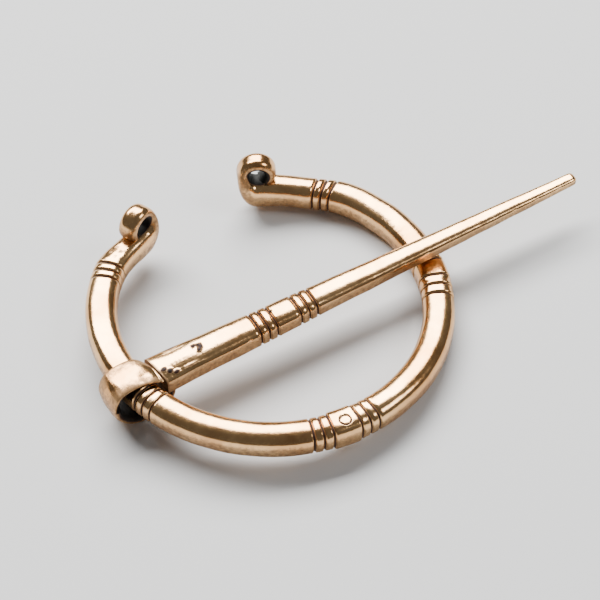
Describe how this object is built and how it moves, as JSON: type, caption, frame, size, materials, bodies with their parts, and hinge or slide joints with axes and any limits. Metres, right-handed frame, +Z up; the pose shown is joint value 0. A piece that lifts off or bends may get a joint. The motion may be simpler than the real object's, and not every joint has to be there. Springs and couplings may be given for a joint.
{
  "type": "roman fibula brooch",
  "caption": "Penannular ring brooch of cast bronze with curled eye ends, and a tapering pin that swings on the hoop to fasten a cloak",
  "frame": {"origin": "on the surface that the brooch lies on, under the middle of its bounding box", "axes": "+X along the pin from its head to its tip, +Z up out of the brooch's face, +Y towards the gap between the curled ends"},
  "size_m": [0.0588, 0.0384, 0.0077],
  "materials": {
    "hoop_bronze": "polished cast bronze, dark in its grooves",
    "pin_bronze": "polished bronze, dark in its grooves and folds"
  },
  "bodies": {
    "hoop": {"hoop": "hoop_bronze"},
    "pin": {"pin": "pin_bronze"}
  },
  "joints": [
    {"name": "pin_swing", "type": "hinge", "parent": "hoop", "child": "pin", "pos_m": [-0.02586, -0.00201, 0.00358], "axis": [0, -1, 0], "range_deg": [0, 180]}
  ]
}
